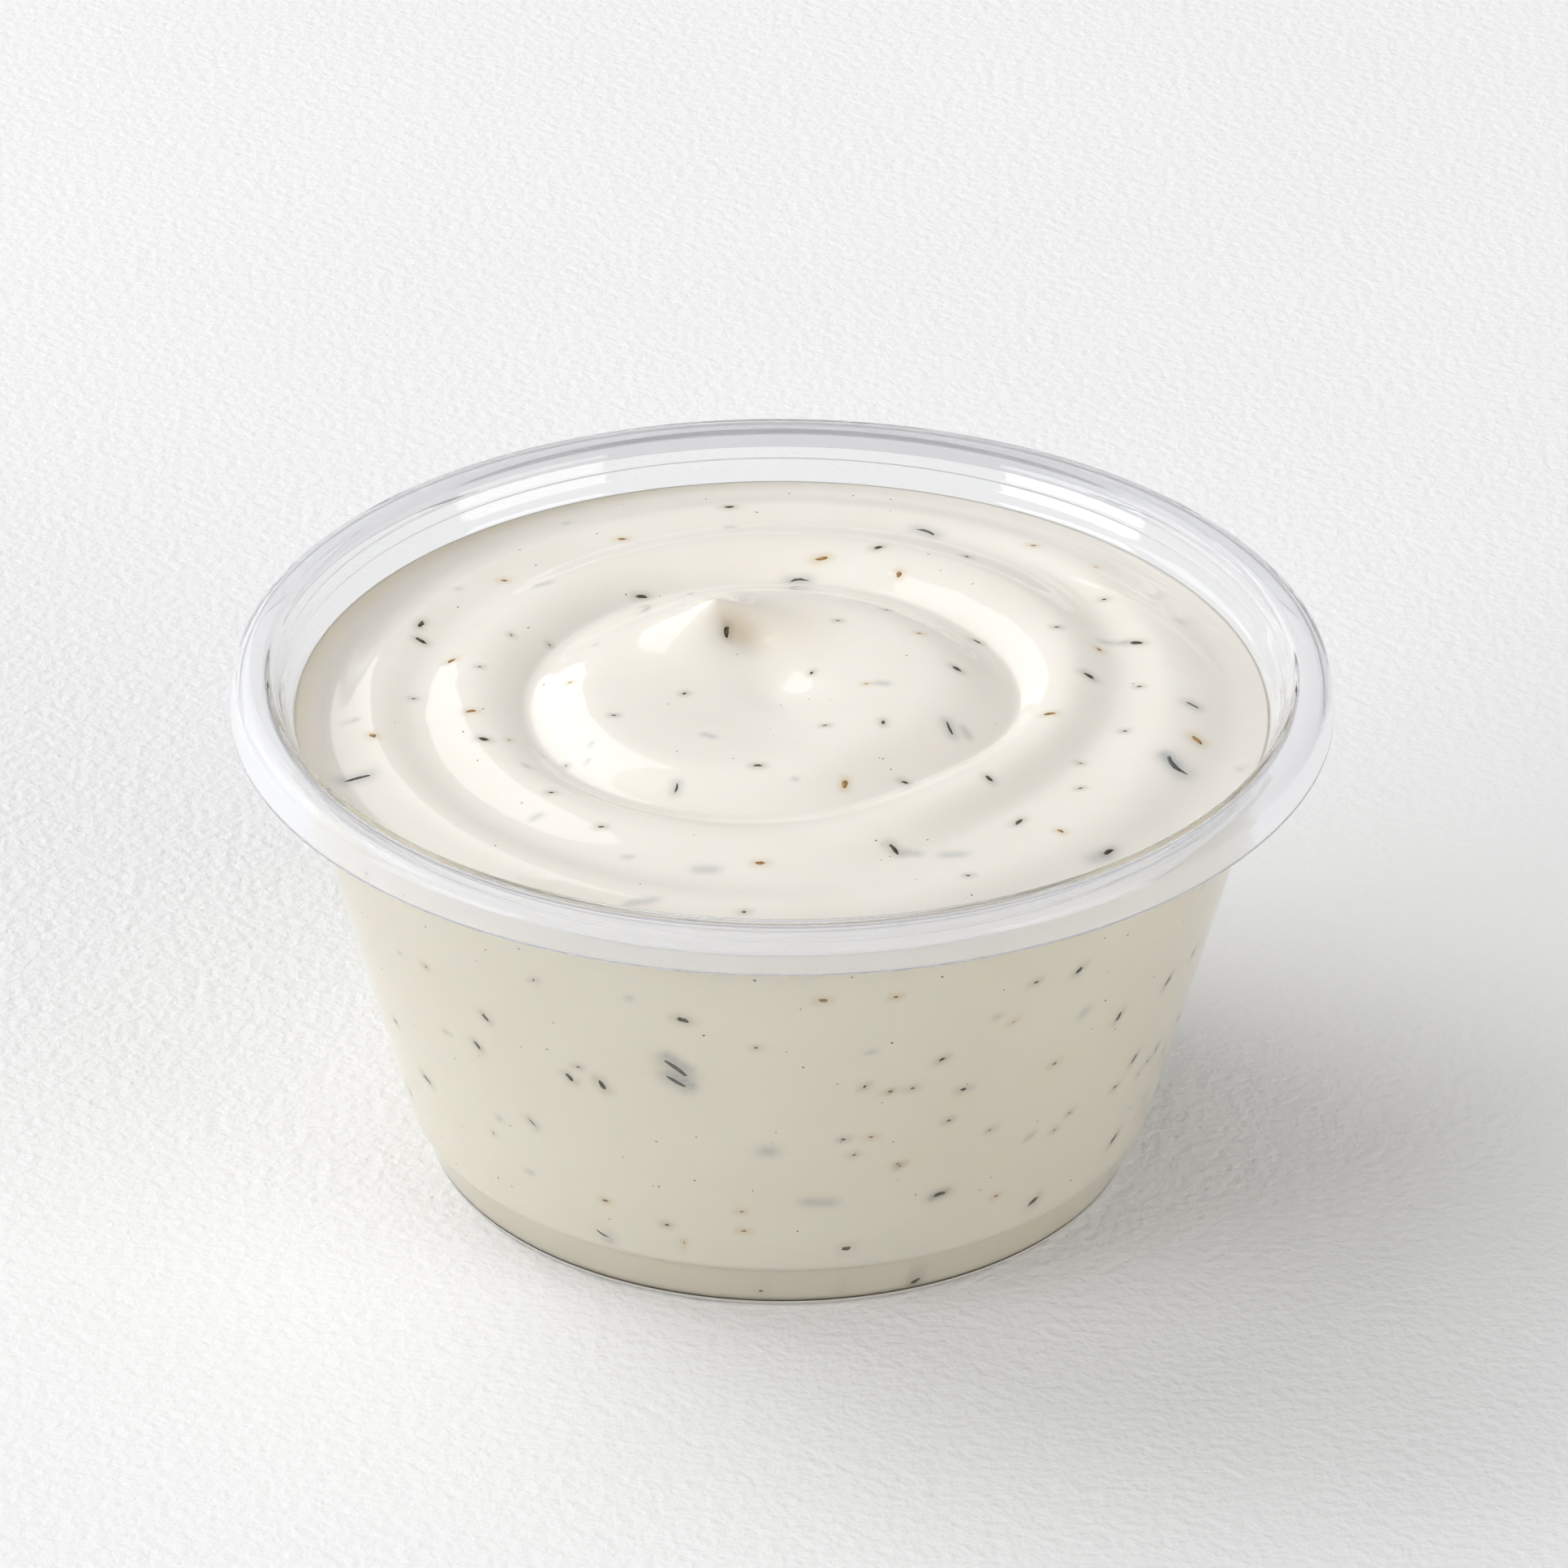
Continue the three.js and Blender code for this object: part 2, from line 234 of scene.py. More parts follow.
def cupSection():
    c = cupSizes
    low, high, skirt = c["shoulderHeight"], c["wallTopHeight"], c["skirtBottom"]
    inFoot = insideFootRadius()
    inRim = rimRadius - c["rimWidth"]
    outside = [
        (0, c["floorUnder"], 0),
        (c["footRing"] - 0.7, c["floorUnder"], 0.3),
        (c["footRing"], 0, 0.25),
        (c["baseRadius"], 0, 0.5),
        (c["footTopRadius"], c["footHeight"] + 0.12, 0.12),
        (outerWallRadius(low) - 0.12, low - 0.42, 0.4),
        (outerWallRadius(low + 0.3), low + 0.3, 0.1),
        (outerWallRadius(high), high, 0.3),
        (c["ledgeRadius"] + 0.5, c["ledgeHeight"] - 0.25, 0.3),
        (rimRadius - 2.5, rimTop - 0.62, 0.45),
        (rimRadius - 0.82, rimTop - 0.66, 0.7),
        (rimRadius - 0.46, skirt, 0.1),
    ]
    rim = [
        (rimRadius, skirt, 0.18),
        (rimRadius - 0.34, rimTop - 0.3, 0.75),
        (rimRadius - 1.7, rimTop + 0.03, 0.8),
        (inRim, rimTop - 0.05, 0.28),
    ]
    inside = []
    for height, proud in c["beads"]:
        share = (height - c["ledgeHeight"]) / (rimTop - c["ledgeHeight"])
        radius = c["ledgeRadius"] + share * (inRim - c["ledgeRadius"])
        inside += [(radius + 0.02, height + 0.14, 0.1), (radius - proud, height, 0.1),
                   (radius, height - 0.14, 0.1)]
    inside += [
        (c["ledgeRadius"], c["ledgeHeight"], 0.3),
        (innerWallRadius(high), high, 0.35),
        (innerWallRadius(low), low, 0.6),
        (innerWallRadius(low) - 0.4, low - 0.5, 0.3),
        (inFoot, c["footHeight"] - 0.1, 0.3),
        (inFoot - c["footTaper"], c["channelTop"], 0.6),
        (c["channelRadius"], c["channelTop"], 0.3),
        (c["channelRadius"] - 0.8, c["floorTop"], 0.3),
        (0, c["floorTop"], 0),
    ]
    return roundedPath(outside + rim + inside)


# Thin wall plastic is almost clear. Rolled, at the rim, it turns milky. At the foot it is tinted the
# dressing's tone and made half opaque: painted shade, standing in for the warm contact shade along
# the base edge.
plasticSizes = {
    "wallIor": 1.4, "wallColour": (0.99, 0.992, 1.0), "wallClear": 0.98,
    "rimIor": 1.33, "rimColour": (0.975, 0.978, 1.0), "rimClear": 0.79,
    "rimFrom": 35.0,    # radius from which the plastic is milky
    # Painted shade: up to footTo the foot's plastic is tinted cream and half opaque.
    "footShadeColour": (0.90, 0.85, 0.77), "footClear": 0.4,
    "footTo": 0.62,    # height up to which the pressed foot is creamy
    "smoothest": 0.02, "roughest": 0.05,
}


def clearPlastic(name, colour, clear, ior):
    material, nodes, links, shader = newMaterial(name)
    shader.inputs["Base Color"].default_value = (*colour, 1)
    shader.inputs["IOR"].default_value = ior
    shader.inputs["Transmission Weight"].default_value = clear
    haze = noiseNode(nodes, links, objectPoint(nodes), 6, 0)
    roughness = spreadNode(nodes, links, haze, plasticSizes["smoothest"], plasticSizes["roughest"])
    links.new(roughness, shader.inputs["Roughness"])
    return material


def makeCup():
    p = plasticSizes
    wallPlastic = clearPlastic("clearPlastic", p["wallColour"], p["wallClear"], p["wallIor"])
    rimPlastic = clearPlastic("milkyPlastic", p["rimColour"], p["rimClear"], p["rimIor"])
    footShadePlastic = clearPlastic("footShadePlastic", p["footShadeColour"], p["footClear"], p["wallIor"])
    bm = spinSection(cupSection(), cupSizes["turns"])
    for face in bm.faces:
        middle = face.calc_center_median() / mm
        # Faces below footTo get the cream-tinted foot plastic: painted shade along the base edge.
        if middle.z < p["footTo"]:
            face.material_index = 2
        elif middle.xy.length > p["rimFrom"]:
            face.material_index = 1
    cup = finishPiece(bm, "clear_cup", wallPlastic)
    cup.data.materials.append(rimPlastic)
    cup.data.materials.append(footShadePlastic)
    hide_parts("cup")


makeCup()
print("cup made")


# The swirl's crests and hollows are lines that go right round it, each with a radius and a
# height every 45 degrees from +X towards +Y. A lean above 1 steepens a slope's outer part.
swirlSizes = {
    "wallLevel": 32.75, "centreLevel": 33.8, "stationStep": 45,
    "intoWall": 0.08,    # how far the dressing reaches into the plastic, so that no air shows
    "turns": 360, "topRings": 140, "sideRings": 90, "floorRings": 3, "footSteps": 3,
}
swirlLines = {
    "mound": {
        "radius": (8.5, 10.5, 11.2, 11.0, 11.2, 11.0, 8.4, 6.4),
        "height": (34.0, 33.95, 33.9, 33.9, 33.85, 33.85, 33.8, 33.95),
        "lean": 1.15,
    },
    "moat": {
        "radius": (16.0, 17.0, 18.2, 17.8, 17.5, 16.9, 14.8, 13.4),
        "height": (32.25, 32.45, 32.5, 32.5, 32.5, 32.5, 32.5, 32.25),
        "lean": 1.55,
    },
    "ridge": {
        "radius": (19.3, 22.4, 22.8, 22.0, 20.9, 20.4, 18.6, 17.0),
        "height": (33.4, 33.4, 33.45, 33.5, 33.5, 33.45, 33.25, 33.5),
        "lean": 0.64,
    },
    "valley": {
        "radius": (22.8, 26.2, 26.4, 25.6, 25.0, 24.8, 24.0, 20.8),
        "height": (32.7, 32.75, 33.1, 33.0, 32.8, 32.8, 32.8, 32.45),
        "lean": 1.0,
    },
    "shore": {
        "radius": (26.6, 28.6, 28.6, 27.6, 27.4, 27.4, 27.6, 26.6),
        "height": (33.05, 33.05, 33.1, 33.1, 33.15, 33.15, 33.15, 33.05),
        "lean": 1.0,
    },
    "trough": {
        "radius": (31.2, 31.2, 31.2, 31.1, 31.0, 31.0, 31.2, 31.2),
        "height": (32.75, 32.8, 32.8, 32.6, 32.2, 32.25, 32.6, 32.7),
        "lean": 1.0,
    },
}
# Shallow hollows in the middle: x, y, depth, spread.
hollows = [(-2.0, -1.0, 0.6, 4.2), (-0.6, 0.9, 0.4, 1.7), (-2.5, 7.0, 0.7, 1.5)]
peak = {
    "x": -4.4, "y": 9.1, "height": 2.1, "reach": 3.0, "power": 1.15, "tip": 0.45,
    "trail": 2.7, "trailTurn": 230, "trailPower": 0.4,    # it leans on a ridge towards this turn
}
crest = {"length": 7.2, "height": 0.25, "width": 1.3, "slant": 0.12}

# Thin creases that the spoon dragged: start and end angle, start and end radius, height, width.
creases = [
    (16, 60, 16.0, 16.4, 0.10, 0.24),
    (20, 50, 15.3, 15.6, 0.07, 0.22),
    (33, 50, 25.3, 26.6, 0.08, 0.24),
    (8, 44, 30.4, 27.3, 0.07, 0.24),
    (206, 258, 18.6, 17.2, 0.06, 0.24),
    (214, 262, 19.5, 18.2, 0.05, 0.22),
    (60, 118, 14.6, 13.8, 0.05, 0.24),
]


# Smooth closed curve through a line's stations, at an angle in radians.
def aroundLine(values, angle):
    count = len(values)
    position = math.degrees(angle) / swirlSizes["stationStep"] % count
    i = math.floor(position)
    t = position - i
    a, b, c, d = (values[k % count] for k in (i - 1, i, i + 1, i + 2))
    return b + 0.5 * t * (c - a + t * (2 * a - 5 * b + 4 * c - d + t * (3 * (b - c) + d - a)))


def swirlHeight(radius, angle):
    innerRadius, innerHeight = 0.0, swirlSizes["centreLevel"]
    for line in swirlLines.values():
        outerRadius = aroundLine(line["radius"], angle)
        outerHeight = aroundLine(line["height"], angle)
        if radius <= outerRadius:
            share = (radius - innerRadius) / (outerRadius - innerRadius)
            return innerHeight + (outerHeight - innerHeight) * smoothStep(share ** line["lean"])
        innerRadius, innerHeight = outerRadius, outerHeight
    wallRadius = innerWallRadius(swirlSizes["wallLevel"])
    share = min((radius - innerRadius) / (wallRadius - innerRadius), 1)
    return innerHeight + (swirlSizes["wallLevel"] - innerHeight) * smoothStep(share)


def peakRelief(x, y):
    dx, dy = x - peak["x"], y - peak["y"]
    facing = max(math.cos(math.atan2(dy, dx) - math.radians(peak["trailTurn"])), 0)
    reach = peak["reach"] + peak["trail"] * facing ** 2
    power = peak["power"] + peak["trailPower"] * facing ** 2
    cone = math.exp(-(math.hypot(dx, dy, peak["tip"]) / reach) ** power)
    along = min(max(dx / crest["length"], 0), 1)
    across = (dy - crest["slant"] * dx) / crest["width"]
    behindTip = math.exp(-(dx / crest["width"]) ** 2) if dx < 0 else 1
    crestShare = (1 - smoothStep(along)) * math.exp(-across ** 2) * behindTip
    return peak["height"] * cone + crest["height"] * crestShare


def creaseRelief(radius, angle):
    degrees = math.degrees(angle) % 360
    relief = 0.0
    for start, end, startRadius, endRadius, height, width in creases:
        if not start < degrees < end:
            continue
        share = (degrees - start) / (end - start)
        offset = (radius - startRadius - (endRadius - startRadius) * share) / width
        if abs(offset) < 3:
            relief += height * math.sin(math.pi * share) ** 0.7 * math.exp(-offset ** 2)
    return relief


# Height of the dressing's top at a point seen from above.
def surfaceHeight(x, y):
    radius, angle = math.hypot(x, y), math.atan2(y, x)
    depth = sum(deep * math.exp(-0.5 * ((x - hx) ** 2 + (y - hy) ** 2) / spread ** 2)
                for hx, hy, deep, spread in hollows)
    return swirlHeight(radius, angle) - depth + peakRelief(x, y) + creaseRelief(radius, angle)


# The section up to the level line, with a row of points for each ring of the fine mesh.
def dressingSection():
    c, s = cupSizes, swirlSizes
    reach = s["intoWall"]
    inFoot = insideFootRadius() + reach
    bottom, channel = c["floorTop"] - reach, c["channelTop"] - reach
    sideStart = 6
    foot = roundedPath([
        (0, bottom, 0),
        (c["channelRadius"] - 0.8 + reach, bottom, 0.3),
        (c["channelRadius"] + reach, channel, 0.3),
        (inFoot - c["footTaper"], channel, 0.6),
        (inFoot, c["footHeight"] - 0.1, 0.3),
        (innerWallRadius(c["shoulderHeight"]) - 0.4 + reach, c["shoulderHeight"] - 0.5, 0.3),
        (innerWallRadius(c["shoulderHeight"]) + reach, c["shoulderHeight"], 0.3),
        (innerWallRadius(sideStart) + reach, sideStart, 0),
    ], s["footSteps"])
    floor = [foot[0].lerp(foot[1], i / s["floorRings"]) for i in range(1, s["floorRings"])]
    side = []
    for i in range(1, s["sideRings"] + 1):
        height = sideStart + (s["wallLevel"] - sideStart) * i / s["sideRings"]
        side.append(Vector((innerWallRadius(height) + reach, height)))
    edge = side[-1].x
    rings = s["topRings"]
    top = [Vector((edge * (1 - i / rings), s["wallLevel"])) for i in range(1, rings + 1)]
    return [foot[0], *floor, *foot[1:], *side, *top]


# Flecks on the top, as seen from the front on the level plane: x, y, length and turn.
fleckLevel = 32.5
topFlecks = {
    "pepper": [
        (-24.9, 11.7, 1.2, 75), (-24.8, 9.3, 1.2, -40), (-9.8, 15.9, 1.1, 10), (-3.8, 29.5, 0.9, 0),
        (6.7, 23.4, 0.9, 30), (12.9, 22.1, 0.6, -40), (7.2, 14.1, 0.4, 0), (3.8, 12.5, 0.4, 0),
        (13.4, 9.5, 0.8, -40), (11.9, 5.6, 1.0, -45), (18.9, 11.7, 0.6, 0), (24.3, 9.5, 1.2, -20),
        (20.9, 4.7, 1.2, -45), (22.3, 15.8, 0.5, 0), (13.8, -9.7, 0.8, -50), (8.2, -10.3, 0.7, -20),
        (-1.6, -8.1, 0.8, 0), (-20.0, -4.6, 1.0, -30), (7.4, -19.3, 1.5, -60), (15.7, -15.6, 1.1, 60),
        (21.5, -19.5, 1.2, 50), (2.0, 4.9, 0.5, 60), (6.8, -2.0, 0.7, 90), (2.9, -2.5, 0.5, 0),
        (-6.6, 1.9, 0.5, 40), (-3.8, 10.8, 1.5, 85), (23.1, -3.1, 0.5, 0), (24.3, 3.2, 0.5, 0),
        (19.9, -11.0, 0.5, 0), (20.0, -7.6, 0.4, 0), (12.2, -22.7, 0.5, 0), (-2.4, -27.6, 0.5, 0),
        (-15.3, -11.9, 0.5, 0), (-11.9, -16.5, 0.6, 0), (-25.0, 1.0, 0.4, 0), (-20.6, 5.6, 0.4, 0),
        (-11.3, -1.2, 0.5, 0),
    ],
    "herb": [
        (-28.4, -10.2, 2.3, 0), (26.3, -7.7, 3.3, -65), (27.8, 0.6, 1.4, -45), (10.1, 25.8, 2.0, -35),
        (1.1, 18.4, 1.7, 5), (11.3, -2.8, 1.5, -70), (-7.0, -11.2, 1.0, 80),
    ],
    "spice": [
        (-22.6, 6.4, 0.8, 40), (2.7, 21.7, 1.3, 20), (8.1, 19.4, 0.9, 90), (-19.4, 18.2, 0.7, 0),
        (9.4, 10.7, 0.5, 0), (27.9, -4.3, 1.5, -60), (4.2, -10.6, 1.0, 80), (-27.5, -4.2, 0.9, -50),
        (-21.0, -0.7, 0.9, 0), (18.4, -16.8, 0.8, -50), (5.7, 3.4, 0.4, 0), (-14.4, 3.4, 0.4, 0),
        (-1.4, -21.2, 0.9, 0), (-11.3, 24.5, 0.8, 0), (8.5, 7.5, 0.3, 0), (18.1, -0.7, 1.0, 0),
        (17.6, 23.8, 0.6, 0), (21.7, 8.5, 0.7, -60),
    ],
}
# Flecks under the skin show as a blur: x, y, length, width and turn.
sunkFlecks = [
    (-22.4, 17.0, 0.7, 0.5, 0), (-15.2, 26.9, 0.9, 0.5, 0), (-3.7, 26.4, 0.9, 0.5, 0),
    (6.8, 3.5, 1.3, 0.8, -20), (-4.9, -4.0, 1.3, 0.7, -30), (-12.8, -5.3, 0.8, 0.4, 60),
    (-13.0, -7.7, 0.8, 0.4, 60), (30.8, -8.2, 0.9, 0.5, 20), (-29.2, -2.2, 1.5, 0.5, -10),
    (11.3, -20.0, 2.2, 1.2, 0), (-10.0, -20.5, 0.9, 0.5, 0), (-16.2, -15.2, 1.2, 0.6, 30),
    (0.9, -9.9, 0.6, 0.4, 0), (-12.8, 8.8, 0.6, 0.4, 0), (-17.0, -8.3, 1.0, 0.5, -40),
    (27.4, 12.6, 0.9, 0.5, 0), (-16.6, 17.7, 1.6, 0.6, 25), (-9.0, -26.3, 2.4, 0.7, 8),
    (20.9, -20.3, 2.2, 1.4, 30), (-4.9, -22.1, 2.0, 1.0, 0), (8.6, -19.8, 1.6, 0.9, -10),
    (26.0, -7.0, 2.4, 0.9, -65), (22.7, 9.4, 2.2, 0.7, -4), (12.4, -3.4, 1.4, 0.7, -60),
]
# Flecks seen through the cup's side: angle, height, length and tilt.
sideFlecks = {
    "pepper": [
        (258.4, 26.35, 1.1, -15), (230.3, 22.0, 0.9, -50), (239.5, 21.15, 0.3, 0), (243.7, 20.3, 0.4, 0),
        (242.2, 19.1, 0.9, -50), (246.8, 19.2, 1.2, -60), (227.4, 18.9, 0.9, -50), (220.8, 24.0, 0.5, 0),
        (233.1, 28.5, 0.3, 0), (301.7, 27.0, 0.5, 0), (308.1, 26.7, 0.9, 45), (315.3, 28.0, 0.3, 0),
        (267.1, 24.3, 0.4, 0), (290.3, 22.0, 0.7, 20), (286.9, 19.8, 0.5, 0), (280.6, 20.5, 0.5, 60),
        (294.0, 18.8, 0.7, 0), (318.4, 20.2, 0.9, 60), (329.4, 20.2, 1.1, 50), (336.9, 20.4, 0.8, 60),
        (278.3, 15.8, 0.5, 0), (292.6, 16.2, 0.5, 0), (279.9, 14.3, 0.4, 0), (299.2, 14.3, 0.4, 0),
        (326.2, 14.5, 1.0, 50), (334.0, 13.2, 0.8, 50), (331.7, 12.8, 0.5, 0), (323.0, 12.9, 0.6, 0),
        (311.0, 12.0, 0.4, 0), (313.3, 13.0, 0.4, 0), (211.3, 11.8, 1.2, -20), (205.3, 15.0, 0.7, 0),
        (293.0, 9.4, 1.3, 10), (289.3, 9.8, 0.3, 0), (279.8, 5.6, 0.9, 0), (310.4, 5.7, 1.2, 30),
        (328.0, 7.1, 1.1, 40), (267.1, 1.3, 0.6, 0), (292.0, 1.0, 1.0, 25), (253.6, 7.2, 0.5, 0),
    ],
    "herb": [
        (257.0, 21.9, 2.6, -41), (257.0, 20.65, 2.2, -33), (234.4, 13.6, 0.9, -45), (243.0, 5.0, 1.4, -25),
    ],
    "spice": [
        (274.9, 28.5, 0.8, 0), (283.5, 28.3, 0.5, 0), (284.0, 19.8, 0.5, 0), (307.8, 18.6, 0.6, 0),
        (282.0, 15.8, 0.5, 0), (286.1, 13.0, 0.5, 0), (264.7, 9.2, 0.4, 0), (264.9, 7.4, 0.6, 0),
        (244.4, 8.3, 0.6, 0), (302.7, 7.7, 0.5, 0),
    ],
}
# The same, seen through the cup's side: angle, height, length, width and tilt.
sunkSideFlecks = [
    (257.4, 22.5, 2.4, 0.7, -38), (257.8, 20.9, 2.2, 0.5, -33), (221.3, 18.5, 0.9, 0.5, 0),
    (215.2, 23.6, 0.7, 0.4, 0), (252.0, 27.6, 0.8, 0.5, 0), (268.4, 14.9, 1.5, 1.1, 0),
    (275.4, 10.1, 2.6, 0.9, -6), (231.8, 8.6, 0.9, 0.5, 0), (336.4, 8.5, 1.0, 0.6, 40),
    (243.0, 5.0, 1.7, 0.8, -35), (284.0, 19.8, 0.8, 0.5, 0), (292.8, 9.4, 1.5, 0.7, 18),
    (279.8, 1.2, 0.9, 0.6, 0), (281.0, 23.6, 0.9, 0.5, 0), (311.0, 22.4, 1.2, 0.8, 40),
    (306.5, 12.4, 1.0, 0.6, 30), (297.0, 24.8, 0.9, 0.6, 0), (228.0, 12.6, 0.9, 0.5, -40),
]
fleckRules = {
    "seed": 20,
    "topSpecks": 60, "sideSpecks": 190, "backFlecks": 46, "backSunk": 16,
    "shortestSpeck": 0.13, "longestSpeck": 0.38,
    "topReach": 31.5, "speckHeights": (4.6, 31.5), "speckTilt": 70,
    "shownFrom": 200, "shownTo": 340,    # degrees of the side that the lists above cover
    "backHeights": (5.0, 29.5), "backSunkHeights": (5, 29), "backTilt": 60,
    "backLengths": (0.4, 1.5, 0.6), "herbStretch": 1.6,    # shortest, longest, commonest
    "backSunkLengths": (0.3, 1.4), "backSunkReach": (0.25, 0.5),
    "coreShare": 0.8,    # the hard core's share of a fleck; the rest is its blur
    "widest": 0.38, "thick": 0.14, "sunk": 0.02, "jitter": 0.24,
    "finerFrom": 0.7,    # longer flecks have finer grains
    "blurFrom": 0.35,    # shorter flecks leave no blur
    "blurLength": 0.7, "blurReach": 0.24, "blurGrowth": 0.2,
}
fleckKinds = {
    "pepper": {"widthShare": 0.5, "slimmest": 0.14, "bend": 0.1, "blur": (0.74, 0.73, 0.71)},
    "herb": {"widthShare": 0.16, "slimmest": 0.15, "bend": 0.2, "blur": (0.74, 0.76, 0.78)},
    "spice": {"widthShare": 0.5, "slimmest": 0.13, "bend": 0.1, "blur": (0.86, 0.80, 0.68)},
}
sunkColour = (0.74, 0.77, 0.80)
draw = random.Random(fleckRules["seed"])
stains = []    # (start, end, reach, colour) of the blur that each fleck leaves in the dressing


# From a place as seen from the front on the level plane to the same place on the swirl.
def settleOnSwirl(x, y):
    settled = y
    for _ in range(16):
        rise = surfaceHeight(x, settled) - fleckLevel
        slant = (cameraView["distance"] + y) / (cameraView["height"] - fleckLevel)
        settled = 0.5 * settled + 0.5 * (y - slant * rise)
    return x, settled


# A placer takes a point of a fleck (along it, across it, off the surface) to its place in mm.
def topPlacer(x, y, turn):
    c, s = math.cos(math.radians(turn)), math.sin(math.radians(turn))

    def place(along, across, off):
        px, py = x + along * c - across * s, y + along * s + across * c
        return Vector((px, py, surfaceHeight(px, py) + off))

    return place


def sideRadius(height):
    c = cupSizes
    reach = swirlSizes["intoWall"]
    if height >= c["shoulderHeight"]:
        return innerWallRadius(height) + reach
    inFoot = insideFootRadius() + reach
    lean = c["footTaper"] / (c["footHeight"] - 0.1 - c["channelTop"])
    return inFoot - lean * (c["footHeight"] - 0.1 - height)


def sidePlacer(angle, height, turn):
    c, s = math.cos(math.radians(turn)), math.sin(math.radians(turn))
    centre = math.radians(angle)

    def place(along, across, off):
        z = height + along * s + across * c
        radius = sideRadius(z)
        a = centre + (along * c - across * s) / radius
        return Vector(((radius + off) * math.cos(a), (radius + off) * math.sin(a), z))

    return place


def addStain(place, length, reach, colour):
    stains.append((place(-length / 2, 0, 0), place(length / 2, 0, 0), reach, colour))


# One fleck: a faceted grain, jittered, bent and laid on the surface that place describes.
def addFleck(bm, kind, place, length):
    rules, sizes = fleckRules, fleckKinds[kind]
    core = length * rules["coreShare"]
    width = min(max(core * sizes["widthShare"], sizes["slimmest"]), rules["widest"])
    thick = rules["thick"] * min(1, 0.45 + 0.5 * length)
    bend = draw.uniform(-1, 1) * sizes["bend"] * core
    finer = 2 if length > rules["finerFrom"] else 1
    grain = bmesh.ops.create_icosphere(bm, subdivisions=finer, radius=1)["verts"]
    for v in grain:
        rough = 1 + draw.uniform(-rules["jitter"], rules["jitter"])
        across = v.co.y * width / 2 * rough + bend * (v.co.x ** 2 - 0.4)
        off = v.co.z * thick / 2 - rules["sunk"]
        v.co = place(v.co.x * core / 2 * rough, across, off) * mm
    if length > rules["blurFrom"]:
        reach = rules["blurReach"] + rules["blurGrowth"] * length
        addStain(place, length * rules["blurLength"], reach, sizes["blur"])


def flecksMaterial(name, stops, roughness):
    material, nodes, links, shader = newMaterial(name)
    grain = noiseNode(nodes, links, objectPoint(nodes), 0.35, 2)
    links.new(rampNode(nodes, links, grain, stops), shader.inputs["Base Color"])
    shader.inputs["Roughness"].default_value = roughness
    shader.inputs["Specular IOR Level"].default_value = 0.3
    return material


def fleckMaterials():
    return {
        "pepper": flecksMaterial("pepper", [(0.3, srgb(46, 42, 38)), (0.7, srgb(108, 94, 74))], 0.5),
        "herb": flecksMaterial("herb", [(0.3, srgb(58, 60, 60)), (0.7, srgb(112, 112, 104))], 0.55),
        "spice": flecksMaterial("spice", [(0.3, srgb(128, 92, 50)), (0.7, srgb(186, 146, 96))], 0.5),
    }


def anyKind():
    return draw.choices(("pepper", "herb", "spice"), (0.62, 0.1, 0.28))[0]


def addShownFlecks(meshes):
    for kind, flecks in topFlecks.items():
        for x, y, length, turn in flecks:
            addFleck(meshes[kind], kind, topPlacer(*settleOnSwirl(x, y), turn), length)
    for kind, flecks in sideFlecks.items():
        for angle, height, length, turn in flecks:
            addFleck(meshes[kind], kind, sidePlacer(angle, height, turn), length)


def drawTilt(limit):
    return draw.uniform(-limit, limit)


def addSpeck(meshes, kind, place):
    length = draw.uniform(fleckRules["shortestSpeck"], fleckRules["longestSpeck"])
    addFleck(meshes[kind], kind, place, length)


def addSpecks(meshes):
    rules = fleckRules
    for _ in range(rules["topSpecks"]):
        radius, angle = rules["topReach"] * math.sqrt(draw.random()), draw.uniform(0, math.tau)
        kind = anyKind()
        place = topPlacer(radius * math.cos(angle), radius * math.sin(angle), draw.uniform(0, 180))
        addSpeck(meshes, kind, place)
    for _ in range(rules["sideSpecks"]):
        kind = anyKind()
        angle, height = draw.uniform(0, 360), draw.uniform(*rules["speckHeights"])
        place = sidePlacer(angle, height, drawTilt(rules["speckTilt"]))
        addSpeck(meshes, kind, place)


# An angle on the part of the side that the photo hides.
def drawHiddenAngle():
    hidden = 360 - (fleckRules["shownTo"] - fleckRules["shownFrom"])
    return fleckRules["shownTo"] + hidden * draw.random()


def addBackFlecks(meshes):
    rules = fleckRules
    for _ in range(rules["backFlecks"]):
        kind = anyKind()
        angle = drawHiddenAngle()
        stretch = rules["herbStretch"] if kind == "herb" else 1
        length = draw.triangular(*rules["backLengths"]) * stretch
        height = draw.uniform(*rules["backHeights"])
        place = sidePlacer(angle, height, drawTilt(rules["backTilt"]))
        addFleck(meshes[kind], kind, place, length)


def addSunkStains():
    rules = fleckRules
    for x, y, length, width, turn in sunkFlecks:
        addStain(topPlacer(*settleOnSwirl(x, y), turn), length - width, width / 2, sunkColour)
    for angle, height, length, width, turn in sunkSideFlecks:
        addStain(sidePlacer(angle, height, turn), length - width, width / 2, sunkColour)
    for _ in range(rules["backSunk"]):
        angle = drawHiddenAngle()
        height = draw.uniform(*rules["backSunkHeights"])
        place = sidePlacer(angle, height, drawTilt(rules["backTilt"]))
        length = draw.uniform(*rules["backSunkLengths"])
        addStain(place, length, draw.uniform(*rules["backSunkReach"]), sunkColour)


def makeFlecks():
    meshes = {kind: bmesh.new() for kind in fleckKinds}
    addShownFlecks(meshes)
    addSpecks(meshes)
    addBackFlecks(meshes)
    for kind, material in fleckMaterials().items():
        bmesh.ops.recalc_face_normals(meshes[kind], faces=meshes[kind].faces)
        piece = finishPiece(meshes[kind], f"{kind}_flecks", material)
        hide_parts("dressing")
    addSunkStains()


makeFlecks()
print("flecks made:", len(stains))
